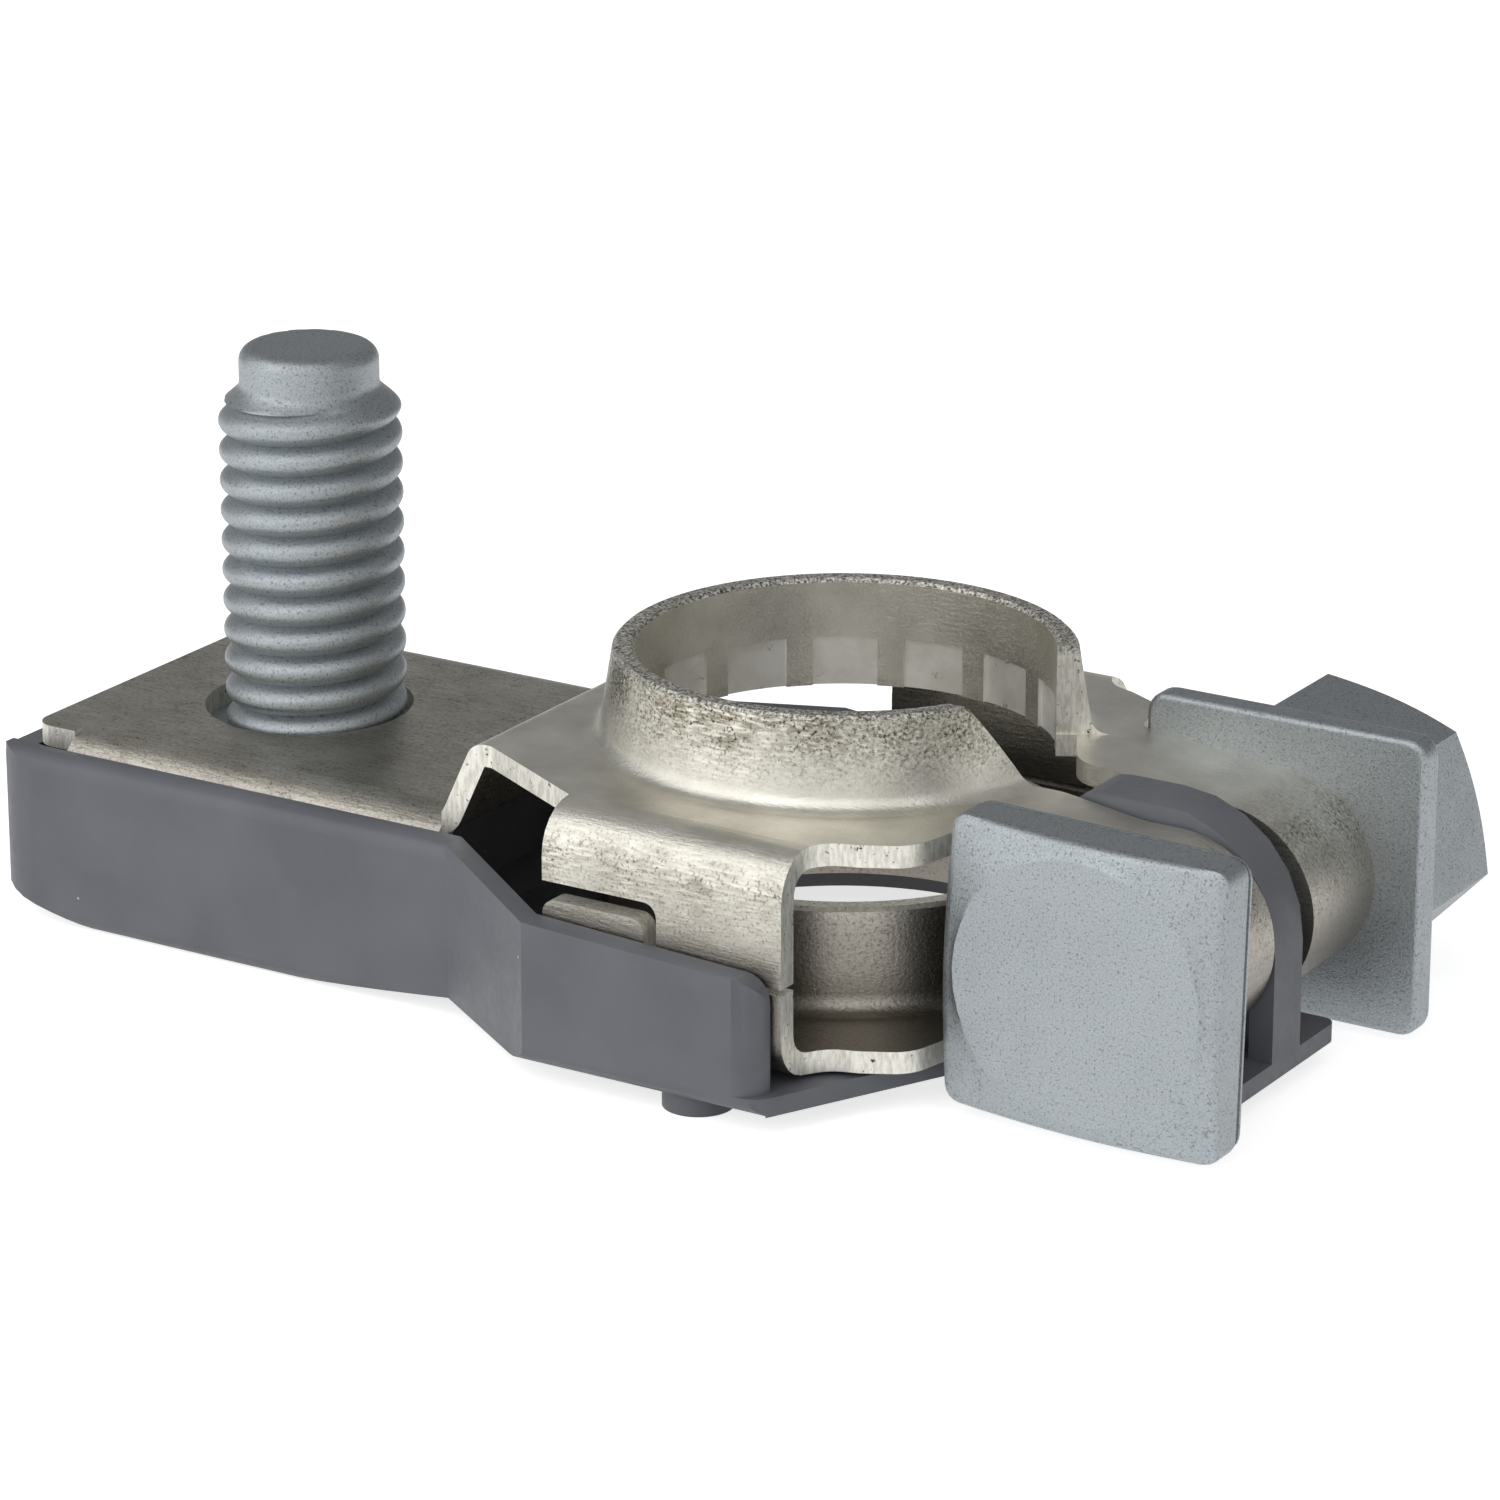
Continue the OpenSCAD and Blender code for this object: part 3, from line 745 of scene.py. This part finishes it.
@dataclass
class ThreadedRod:
    """A round rod with a rolled thread along Z.

    Every size is in millimetres, and envelope gives the rod's largest radius at
    a height, so that the thread runs out in it at its tip.
    """

    name: str
    start: float
    end: float
    pitch: float
    depth: float
    envelope: Callable[[float], float]
    round_steps: int = 72
    steps_per_pitch: int = 16
    crest_power: float = 2.3

    def groove(self, phase: float) -> float:
        """Gives the share of the thread's depth that is cut away at a phase of the helix.

        Rolled crests are full and round, and the roots between them are sharp.
        """
        away = abs(2.0 * (phase % 1.0) - 1.0)
        return away**self.crest_power

    def build(self) -> bpy.types.Object:
        """Makes the rod from a grid whose rows climb with the thread.

        Returns:
            The new object.
        """
        spacing = self.pitch / self.steps_per_pitch
        full = self.envelope(self.start)

        def place(column: int, row: int) -> Vector:
            """Gives the point at a step round the rod and a step along it."""
            turned = column / self.round_steps
            z = self.start + row * spacing - self.pitch * (1.0 - turned)
            z = min(self.end, max(self.start, z))
            r = min(self.envelope(z), full - self.depth * self.groove(z / self.pitch - turned))
            angle = turned * math.tau
            return Vector((r * math.cos(angle), r * math.sin(angle), z))

        rows = math.ceil((self.end - self.start + self.pitch) / spacing)
        return rolled_grid(self.name, self.round_steps, rows, place)


def join(main: bpy.types.Object, *others: bpy.types.Object) -> bpy.types.Object:
    """Joins other pieces into main.

    Args:
        main: The piece that stays.
        others: The pieces that become part of it.

    Returns:
        The main piece.
    """
    only(main)
    for other in others:
        other.select_set(True)
    bpy.ops.object.join()
    return main


def box_mm(node: str) -> tuple[Vector, Vector]:
    """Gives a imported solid's lowest and highest corners in millimetres."""
    low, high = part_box(node)
    return low / MM, high / MM


# Pieces


@dataclass
class FoldedSheet:
    """The folded sheet with its collar, side walls, ears and lower plate.

    Coined panels stand in a row round the inside of the collar with ribs between
    them. The top of the notch in the rear wall is filled between two corners.
    """

    edge_width: float = 0.1
    widest_edge: float = 0.74
    rear_notch: tuple[Vector, Vector] = (Vector((-3.96, 9.5, -3.25)), Vector((0.11, 10.2, -2.2)))
    bore_r: float = 6.5
    panels: int = 14
    panel_cuts: int = 7
    panel_z: tuple[float, float] = (-0.9, 0.95)
    panel_depth: float = 0.1
    rib_share: float = 0.26
    first_rib: float = 108.4
    reach: float = 0.4

    def panel_cutter(
        self, number: int, materials: Iterable[bpy.types.Material]
    ) -> bpy.types.Object:
        """Makes the solid that coins one panel inside the collar.

        Args:
            number: Which panel it is, counted round the collar.
            materials: The sheet's materials, of which the panel takes the third.

        Returns:
            A block bent round the post, whose outer face is the smaller one.
        """
        turn = math.tau / self.panels
        span = turn * (1.0 - self.rib_share)
        middle = math.radians(self.first_rib) + turn * (number + 0.5)
        low, high = self.panel_z
        obj = block(Vector((-0.5, -0.5, -0.5)), Vector((0.5, 0.5, 0.5)), self.panel_cuts)
        for vertex in obj.data.vertices:
            outward = vertex.co.y + 0.5
            r = self.bore_r - self.reach + outward * (self.reach + self.panel_depth)
            draft = 1.0 - outward * self.panel_depth / (high - low)
            angle = middle + vertex.co.x * span * draft
            z = (low + high) / 2 + vertex.co.z * (high - low) * draft
            vertex.co = Vector((r * math.cos(angle), r * math.sin(angle), z))
        in_edit_mode(obj, lambda: bpy.ops.mesh.normals_make_consistent(inside=False))
        for material in materials:
            obj.data.materials.append(material)
        for face in obj.data.polygons:
            face.material_index = 2
        return obj

    def build(self) -> bpy.types.Object:
        """Makes the sheet with its cut edges broken and marked and its collar coined."""
        obj = node_copy("terminal_sheet", "folded_sheet")
        fuse(obj, block(*self.rear_notch))
        for index in narrow_patches(obj, self.widest_edge):
            obj.data.polygons[index].material_index = 1
        break_edges(obj, self.edge_width)
        materials = [TinPlatedBrass().build(), BlankedEdge().build(), CoinedTin().build()]
        for material in materials:
            obj.data.materials.append(material)
        cutters = [self.panel_cutter(number, materials) for number in range(self.panels)]
        cut(obj, join(*cutters))
        smooth(obj)
        return finish_piece(obj, [], Slot.SHEET, Body.CLAMP, "terminal_sheet")


@dataclass
class Stud:
    """The upright stud with its rolled thread and its dog point."""

    pitch: float = 1.0
    depth: float = 0.45
    major_r: float = 2.95
    tip_r: float = 2.25
    tip_h: float = 1.2
    neck_h: float = 0.9
    edge_r: float = 0.5
    head_t: float = 2.0
    head_edge: float = 0.4
    sunk: float = 0.3

    def build(self, finish: bpy.types.Material) -> bpy.types.Object:
        """Makes the stud.

        Args:
            finish: Its material.

        Returns:
            The finished piece.
        """
        low, high = box_mm("stud_bolt")
        foot = low.z + self.head_t - self.sunk
        thread_top = high.z - self.tip_h - self.neck_h

        def envelope(z: float) -> float:
            """Gives the stud's largest radius at a height."""
            t = min(1.0, max(0.0, (z - thread_top) / self.neck_h))
            neck = self.major_r - (self.major_r - self.tip_r) * t * t * (3.0 - 2.0 * t)
            over = max(0.0, z - (high.z - self.edge_r)) / self.edge_r
            return neck - self.edge_r * (1.0 - math.sqrt(max(0.0, 1.0 - over * over)))

        obj = ThreadedRod("stud", foot, high.z, self.pitch, self.depth, envelope).build()
        axis = Vector(((low.x + high.x) / 2, (low.y + high.y) / 2, 0.0))
        obj.data.transform(Matrix.Translation(axis))
        head = block(low, Vector((high.x, high.y, low.z + self.head_t)))
        break_edges(head, self.head_edge, 3)
        join(obj, head)
        smooth(obj)
        return finish_piece(obj, [finish], Slot.FASTENER, Body.CLAMP, "stud_bolt")


@dataclass
class ClampBolt:
    """The cross bolt: a square head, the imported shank, and a threaded tail beyond the nut."""

    pitch: float = 0.8
    depth: float = 0.4
    major_r: float = 2.45
    chamfer: float = 0.5
    shank_in_nut: float = 0.5
    overlap: float = 0.1
    head_w: float = 9.2
    head_t: float = 2.0
    head_turn: float = 1.3
    head_edge: float = 0.3
    head_corner: float = 0.5
    edge_steps: int = 3
    corner_steps: int = 4
    side_steps: int = 10
    disc_share: float = 0.91
    disc_rise: float = 0.07
    corner_slope: float = 0.2

    def head_rim(self) -> list[Vector]:
        """Gives the head's rounded square, as points round its middle."""
        flat = self.head_w / 2 - self.head_corner
        points = []
        for quarter in range(4):
            turn = Matrix.Rotation(quarter * math.pi / 2, 2)
            for step in range(self.corner_steps + 1):
                angle = step / self.corner_steps * math.pi / 2
                arm = Vector((math.cos(angle), math.sin(angle))) * self.head_corner
                points.append(turn @ (Vector((flat, flat)) + arm))
            for step in range(1, self.side_steps):
                along = flat * (1.0 - 2.0 * step / self.side_steps)
                points.append(turn @ Vector((along, self.head_w / 2)))
        return points

    def head_profile(self, rim: Vector) -> list[Vector]:
        """Gives the points from the middle of the head's face over its rim to its back.

        Args:
            rim: The point of the rim that the profile goes over.

        Returns:
            The points, with the bolt's axis as Y and the face's middle as zero.
        """
        disc = rim.normalized() * self.disc_share * self.head_w / 2
        inner = rim * (1.0 - 2.0 * self.head_edge / self.head_w)
        fall = self.corner_slope * (rim.length - disc.length)
        places = [(disc * share, 0.0) for share in (0.0, 0.5, 0.98)]
        places += [(disc.lerp(inner, share), self.disc_rise + fall * share) for share in (0.06, 0.5, 1.0)]
        quarter = [step / self.edge_steps * math.pi / 2 for step in range(self.edge_steps + 1)]
        for angle in quarter[1:]:
            rise = self.head_edge * (1.0 - math.cos(angle))
            places.append((inner.lerp(rim, math.sin(angle)), self.disc_rise + fall + rise))
        for angle in quarter:
            rise = self.head_edge * (1.0 - math.sin(angle))
            places.append((inner.lerp(rim, math.cos(angle)), self.head_t - rise))
        places.append((disc * 0.4, self.head_t))
        return [Vector((place.x, along, place.y)) for place, along in places]

    def head(self, axis: Vector, front: float) -> bpy.types.Object:
        """Makes the head, whose corners fall away round the flat disc on its face.

        Args:
            axis: A point on the bolt's axis.
            front: Place of the head's face along the bolt.

        Returns:
            The head.
        """
        profiles = [self.head_profile(rim) for rim in self.head_rim()]
        rows = len(profiles[0]) - 1
        obj = rolled_grid(
            "head", len(profiles), rows, lambda column, row: profiles[column % len(profiles)][row]
        )
        turn = Matrix.Rotation(math.radians(self.head_turn), 4, "Y")
        obj.data.transform(Matrix.Translation((axis.x, front, axis.z)) @ turn)
        return obj

    def build(self, finish: bpy.types.Material) -> bpy.types.Object:
        """Makes the bolt.

        Args:
            finish: Its material.

        Returns:
            The finished piece.
        """
        nut_low, nut_high = box_mm("clamp_nut")
        low, high = box_mm("clamp_bolt")
        cut_y = nut_low.y + self.shank_in_nut
        obj = node_copy("clamp_bolt", "cross_bolt")
        in_edit_mode(
            obj,
            lambda: bpy.ops.mesh.bisect(
                plane_co=(0, cut_y, 0), plane_no=(0, 1, 0), clear_outer=True, use_fill=True
            ),
            lambda: bpy.ops.mesh.bisect(
                plane_co=(0, low.y + self.head_t - self.overlap, 0),
                plane_no=(0, 1, 0),
                clear_inner=True,
                use_fill=True,
            ),
        )
        axis = Vector(((nut_low.x + nut_high.x) / 2, 0.0, (nut_low.z + nut_high.z) / 2))
        join(obj, self.head(axis, low.y))

        def envelope(y: float) -> float:
            """Gives the bolt's largest radius at a place along it."""
            return self.major_r - max(0.0, y - (high.y - self.chamfer))

        start = cut_y - 2.0 * self.overlap
        tail = ThreadedRod("tail", start, high.y, self.pitch, self.depth, envelope).build()
        lay_down = Matrix.Rotation(-math.pi / 2, 4, "X")
        tail.data.transform(Matrix.Translation(axis) @ lay_down)
        join(obj, tail)
        smooth(obj)
        return finish_piece(obj, [finish], Slot.FASTENER, Body.CLAMP, "clamp_bolt")


@dataclass
class Hardware:
    """The washer and the nut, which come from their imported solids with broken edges."""

    washer_edge: float = 0.25
    nut_edge: float = 0.4

    def build(self, finish: bpy.types.Material) -> list[bpy.types.Object]:
        """Makes both pieces.

        Args:
            finish: Their material.

        Returns:
            The finished pieces.
        """
        washer = node_copy("clamp_washer", "square_washer")
        break_edges(washer, self.washer_edge, 3)
        smooth(washer)
        nut = node_copy("clamp_nut", "hex_nut")
        break_edges(nut, self.nut_edge, 3)
        smooth(nut)
        return [
            finish_piece(washer, [finish], Slot.FASTENER, Body.WASHER, "clamp_washer"),
            finish_piece(nut, [finish], Slot.FASTENER, Body.NUT, "clamp_nut"),
        ]


@dataclass
class SupportTray:
    """The moulded tray with its strap.

    The two walls and the end step are cut down between pairs of corners, and the
    floor's lower edges are rounded where the tongue leaves it.
    """

    edge_width: float = 0.18
    rear_wall: tuple[Vector, Vector] = (Vector((-27.2, 6.6, -3.5)), Vector((-10.2, 9.5, -2.0)))
    ring_wall: tuple[Vector, Vector] = (Vector((-8.5, 9.9, -3.62)), Vector((8.5, 12.0, -2.0)))
    end_step: tuple[Vector, Vector] = (Vector((-28.0, -9.0, -3.3)), Vector((-26.7, 9.0, -2.0)))
    under_r: float = 0.6
    under_steps: int = 6
    under_x: tuple[float, float] = (-0.3, 4.3)
    stud_box_drop: float = 0.7

    def cove(self, wall_y: float, bottom_z: float) -> bpy.types.Object:
        """Makes the solid that rounds a lower edge of the tray, where its floor meets a side.

        Args:
            wall_y: Place of the side's outer face.
            bottom_z: Height of the floor's underside.

        Returns:
            A bar along X whose inner corner is the hollow of that edge.
        """
        r = self.under_r
        inward = math.copysign(r, -wall_y)
        arc = [step / self.under_steps * math.pi / 2 for step in range(self.under_steps + 1)]
        points = [(wall_y + inward * (1.0 - math.cos(a)), bottom_z + r * (1.0 - math.sin(a))) for a in arc]
        points += [(wall_y + inward, bottom_z - r), (wall_y - inward, bottom_z - r)]
        points.append((wall_y - inward, bottom_z + r))
        start, end = self.under_x
        bpy.ops.object.select_all(action="DESELECT")
        bpy.ops.mesh.primitive_circle_add(vertices=len(points), fill_type="NGON")
        obj = bpy.context.active_object
        for vertex, (y, z) in zip(obj.data.vertices, points):
            vertex.co = Vector((start, y, z))
        in_edit_mode(
            obj,
            lambda: bpy.ops.mesh.extrude_region_move(
                TRANSFORM_OT_translate={"value": (end - start, 0.0, 0.0)}
            ),
            lambda: bpy.ops.mesh.normals_make_consistent(inside=False),
        )
        return obj

    def build(self) -> bpy.types.Object:
        """Makes the tray with its moulded edges rounded and its rear wall under the sheet's edge."""
        obj = node_copy("support_tray", "moulded_tray")
        low, high = box_mm("support_tray")
        for wall_y in (low.y, high.y):
            cut(obj, self.cove(wall_y, low.z + self.stud_box_drop))
        for corners in (self.rear_wall, self.ring_wall, self.end_step):
            cut(obj, block(*corners))
        break_edges(obj, self.edge_width, 3)
        smooth(obj)
        return finish_piece(obj, [MouldedPolyamide().build()], Slot.TRAY, Body.CLAMP, "support_tray")


# Studio


@dataclass(frozen=True)
class Lamp:
    """A square soft box that looks at the object.

    Its angles are degrees, its distance and size metres, and its power watts. At
    azimuth zero it looks along the Y axis.
    """

    name: str
    azimuth: float
    elevation: float
    distance: float
    size: float
    power: float

    def build(self, target: Vector) -> None:
        """Puts the lamp in the scene.

        Args:
            target: The point that it looks at, in metres.
        """
        data = bpy.data.lights.new(self.name, "AREA")
        data.shape = "SQUARE"
        data.size = self.size
        data.energy = self.power
        obj = bpy.data.objects.new(self.name, data)
        turn, lift = math.radians(self.azimuth), math.radians(self.elevation)
        back = Vector((math.sin(turn) * math.cos(lift), -math.cos(turn) * math.cos(lift), math.sin(lift)))
        obj.location = target + back * self.distance
        obj.rotation_euler = (-back).to_track_quat("-Z", "Y").to_euler()
        bpy.context.scene.collection.objects.link(obj)


@dataclass
class Studio:
    """The pale floor, the soft lamps and the camera of the photograph."""

    camera_mm: tuple[float, float, float] = (93.74, -155.86, 62.24)
    target_mm: tuple[float, float, float] = (-2.59, -1.42, -0.72)
    lens: float = 149.3
    floor_size: float = 3.0
    floor_albedo: str = "#E4E4E4"
    floor_glow: tuple[float, float] = (0.72, 0.6)
    world_grey: float = 0.29

    def floor(self, height: float) -> None:
        """Lays the floor.

        Args:
            height: Its height in metres.
        """
        bpy.ops.object.select_all(action="DESELECT")
        bpy.ops.mesh.primitive_plane_add(size=self.floor_size, location=(0, 0, 0))
        obj = bpy.context.active_object
        obj.name = "floor"
        obj.data.transform(Matrix.Translation((0, 0, height)))
        material = bpy.data.materials.new("white paper")
        material.use_nodes = True
        tree = material.node_tree
        tree.nodes.clear()
        path = add_node(tree, "ShaderNodeLightPath")
        straight, mirrored = self.floor_glow
        seen = add_node(
            tree,
            "ShaderNodeMath",
            {"operation": "MULTIPLY"},
            {0: path.outputs["Is Glossy Ray"], 1: mirrored},
        )
        seen = add_node(
            tree,
            "ShaderNodeMath",
            {"operation": "MULTIPLY_ADD"},
            {0: path.outputs["Is Camera Ray"], 1: straight, 2: seen.outputs["Value"]},
        )
        paper = add_node(
            tree, "ShaderNodeBsdfDiffuse", inputs={"Color": linear(self.floor_albedo)}
        )
        glow = add_node(
            tree,
            "ShaderNodeEmission",
            inputs={"Color": (1.0, 1.0, 1.0, 1.0), "Strength": seen.outputs["Value"]},
        )
        both = add_node(tree, "ShaderNodeAddShader", inputs={0: paper.outputs[0], 1: glow.outputs[0]})
        output = add_node(tree, "ShaderNodeOutputMaterial")
        tree.links.new(both.outputs[0], output.inputs["Surface"])
        obj.data.materials.append(material)
        obj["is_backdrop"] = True

    def world(self) -> None:
        """Sets a plain grey surround that the camera sees as white."""
        world = bpy.data.worlds.new("studio")
        bpy.context.scene.world = world
        world.use_nodes = True
        tree = world.node_tree
        tree.nodes.clear()
        path = add_node(tree, "ShaderNodeLightPath")
        strength = add_node(
            tree,
            "ShaderNodeMapRange",
            inputs={
                "Value": path.outputs["Is Camera Ray"],
                "To Min": self.world_grey,
                "To Max": 1.0,
            },
        )
        sky = add_node(
            tree,
            "ShaderNodeBackground",
            inputs={"Color": (1.0, 1.0, 1.0, 1.0), "Strength": strength.outputs["Result"]},
        )
        output = add_node(tree, "ShaderNodeOutputWorld")
        tree.links.new(sky.outputs["Background"], output.inputs["Surface"])

    def camera(self) -> None:
        """Stands the camera where the photograph was taken from."""
        data = bpy.data.cameras.new("photo camera")
        data.lens = self.lens
        data.sensor_width = 36.0
        data.clip_start = 0.01
        obj = bpy.data.objects.new("photo camera", data)
        eye, target = Vector(self.camera_mm) * MM, Vector(self.target_mm) * MM
        obj.location = eye
        obj.rotation_euler = (target - eye).to_track_quat("-Z", "Y").to_euler()
        bpy.context.scene.collection.objects.link(obj)
        bpy.context.scene.camera = obj

    def build(self, floor_height: float) -> None:
        """Sets up the whole studio.

        Args:
            floor_height: Height of the floor in metres.
        """
        self.camera()
        self.world()
        self.floor(floor_height)
        target = Vector(self.target_mm) * MM
        for lamp in (
            Lamp("key", -40.0, 26.0, 0.45, 0.6, 1.35),
            Lamp("side", 100.0, 10.0, 0.45, 0.32, 0.12),
            Lamp("front", 28.0, 44.0, 0.48, 0.6, 1.0),
        ):
            lamp.build(target)
        bpy.context.scene.view_settings.view_transform = "Standard"


def main() -> None:
    """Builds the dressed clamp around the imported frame."""
    logging.basicConfig(level=logging.INFO, format="%(message)s")
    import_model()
    packed = [list(corner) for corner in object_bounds()]
    Studio().build(packed[0][2])
    finish = ZincFlakeSteel().build()
    FoldedSheet().build()
    Stud().build(finish)
    ClampBolt().build(finish)
    Hardware().build(finish)
    SupportTray().build()
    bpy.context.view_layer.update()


if __name__ == "__main__":
    main()
